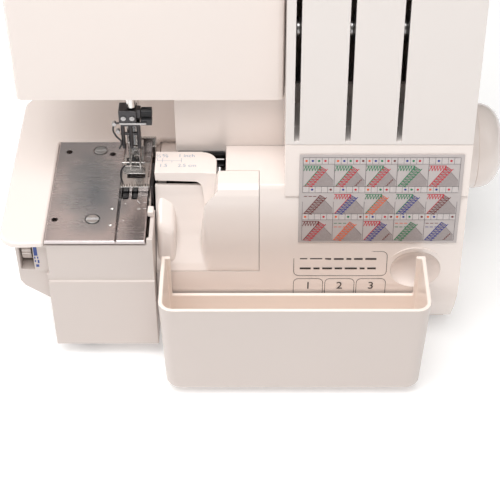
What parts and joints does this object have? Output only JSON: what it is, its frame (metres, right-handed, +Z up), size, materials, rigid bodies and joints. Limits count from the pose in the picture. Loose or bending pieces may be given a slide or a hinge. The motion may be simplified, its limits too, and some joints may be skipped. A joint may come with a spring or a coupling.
{
  "type": "serger overlock machine",
  "caption": "Tabletop overlock sewing machine with steel cloth plate, slotted tension cover, drop-down looper cover, hand wheel and a pull-off waste tray in front.",
  "frame": {"origin": "on the surface the machine stands on, under the middle of its bounding box", "axes": "+X to the right as seen from the operator, along the machine's width; +Y away from the operator; +Z up"},
  "size_m": [0.303, 0.235, 0.288],
  "materials": {
    "white_casing": "glossy warm white injection-moulded plastic",
    "white_moulding": "warm white moulded plastic, softer gloss",
    "steel_plate": "fine brushed steel, slightly bevelled edges",
    "plated_steel": "bright plated steel",
    "cast_metal": "sand-textured casting",
    "dark_metal": "black painted metal",
    "black_plastic": "black moulded plastic",
    "black_rubber": "matte black rubber",
    "printed_film": null
  },
  "bodies": {
    "housing": {"rear_casing": "white_casing", "front_casing": "white_casing", "face_cover": "white_casing", "tension_cover": "white_casing", "top_cover": "white_casing", "bed_top_cover": "white_casing", "base_pan": "white_moulding", "bed_casing": "white_moulding", "handle_bracket_left": "white_moulding", "handle_bracket_right": "white_moulding", "spool_stand": "white_moulding", "spool_holder_1": "white_moulding", "spool_holder_2": "white_moulding", "spool_holder_3": "white_moulding", "spool_holder_4": "white_moulding", "cloth_plate": "steel_plate", "needle_plate": "steel_plate", "plate_screw_front": "plated_steel", "plate_screw_rear": "plated_steel", "lower_knife": "plated_steel", "tension_discs_1": "plated_steel", "tension_discs_2": "plated_steel", "tension_discs_3": "plated_steel", "mast_tube": "plated_steel", "cast_frame": "cast_metal", "motor": "cast_metal", "shaft_bush_left": "cast_metal", "shaft_bush_right": "cast_metal", "looper_bracket": "dark_metal", "power_inlet": "black_plastic", "drive_belt": "black_rubber", "rubber_foot_front_left": "black_rubber", "rubber_foot_front_right": "black_rubber", "rubber_foot_rear_left": "black_rubber", "rubber_foot_rear_right": "black_rubber", "stitch_chart": "printed_film"},
    "handwheel": {"handwheel": "white_casing", "main_shaft": "plated_steel", "shaft_pulley": "black_plastic"},
    "motor_rotor": {"motor_pulley": "black_plastic"},
    "needle_carrier": {"needle_bar": "plated_steel", "needle_clamp": "plated_steel", "needle_left": "plated_steel", "needle_right": "plated_steel"},
    "upper_knife": {"upper_knife": "plated_steel"},
    "lower_looper": {"lower_looper": "plated_steel"},
    "upper_looper": {"upper_looper": "plated_steel"},
    "feed_dog": {"feed_dog": "plated_steel"},
    "presser": {"presser_bar": "plated_steel", "presser_foot": "plated_steel"},
    "presser_lifter": {"presser_lifter": "white_moulding"},
    "waste_tray": {"waste_tray": "white_moulding"},
    "looper_cover": {"looper_cover": "white_casing", "cloth_guide_arm": "white_casing"},
    "stitch_length_dial": {"stitch_length_dial": "white_moulding"},
    "width_finger_lever": {"width_finger_lever": "white_moulding"},
    "power_switch": {"power_switch": "black_plastic"},
    "carry_handle": {"carry_handle": "white_casing"},
    "thread_mast": {"mast_rod": "plated_steel", "thread_tree": "white_moulding"}
  },
  "joints": [
    {"name": "handwheel_spin", "type": "hinge", "parent": "housing", "child": "handwheel", "pos_m": [0.1192, 0.0215, 0.085], "axis": [1, 0, 0], "continuous": true},
    {"name": "motor_spin", "type": "hinge", "parent": "housing", "child": "motor_rotor", "pos_m": [0.099, 0.028, 0.04], "axis": [1, 0, 0], "continuous": true},
    {"name": "needle_bar_travel", "type": "slide", "parent": "housing", "child": "needle_carrier", "axis": [0, 0, 1], "range_m": [-0.022, 0]},
    {"name": "upper_knife_travel", "type": "slide", "parent": "housing", "child": "upper_knife", "axis": [0, 0, 1], "range_m": [-0.006, 0]},
    {"name": "lower_looper_swing", "type": "hinge", "parent": "housing", "child": "lower_looper", "pos_m": [-0.04, -0.033, 0.07], "axis": [0, 1, 0], "range_deg": [-6, 0]},
    {"name": "upper_looper_swing", "type": "hinge", "parent": "housing", "child": "upper_looper", "pos_m": [-0.022, -0.0385, 0.076], "axis": [0, 1, 0], "range_deg": [-6, 0]},
    {"name": "feed_dog_stroke", "type": "slide", "parent": "housing", "child": "feed_dog", "axis": [0, 1, 0], "range_m": [-0.0012, 0.0012]},
    {"name": "lifter_swing", "type": "hinge", "parent": "housing", "child": "presser_lifter", "pos_m": [-0.075, 0.052, 0.197], "axis": [1, 0, 0], "range_deg": [0, 34]},
    {"name": "presser_lift", "type": "slide", "parent": "housing", "child": "presser", "axis": [0, 0, 1], "range_m": [0, 0.006]},
    {"name": "tray_slide", "type": "slide", "parent": "housing", "child": "waste_tray", "axis": [0, -1, 0], "range_m": [0, 0.11]},
    {"name": "looper_cover_swing", "type": "hinge", "parent": "housing", "child": "looper_cover", "pos_m": [-0.031, -0.0686, 0.0596], "axis": [1, 0, 0], "range_deg": [0, 90]},
    {"name": "stitch_length_turn", "type": "hinge", "parent": "housing", "child": "stitch_length_dial", "pos_m": [-0.13775, -0.0635, 0.0784], "axis": [1, 0, 0], "range_deg": [-135, 135]},
    {"name": "width_finger_slide", "type": "slide", "parent": "housing", "child": "width_finger_lever", "axis": [0, 1, 0], "range_m": [0, 0.005]},
    {"name": "switch_rock", "type": "hinge", "parent": "housing", "child": "power_switch", "pos_m": [0.1162, 0.038, 0.046], "axis": [0, 0, 1], "range_deg": [0, 5]},
    {"name": "handle_swing", "type": "hinge", "parent": "housing", "child": "carry_handle", "pos_m": [0, 0.012, 0.2738], "axis": [1, 0, 0], "range_deg": [0, 90]},
    {"name": "mast_extend", "type": "slide", "parent": "housing", "child": "thread_mast", "axis": [0, 0, 1], "range_m": [0, 0.085]}
  ],
  "couplings": [
    {"joint": "motor_spin", "follows": "handwheel_spin", "ratio": 2.2},
    {"joint": "upper_knife_travel", "follows": "needle_bar_travel", "ratio": 0.27273},
    {"joint": "lower_looper_swing", "follows": "needle_bar_travel", "rad_per_m": 4.75},
    {"joint": "upper_looper_swing", "follows": "needle_bar_travel", "rad_per_m": 4.75},
    {"joint": "lifter_swing", "follows": "presser_lift", "rad_per_m": 95},
    {"joint": "looper_cover_swing", "follows": "tray_slide", "rad_per_m": 14.27}
  ]
}
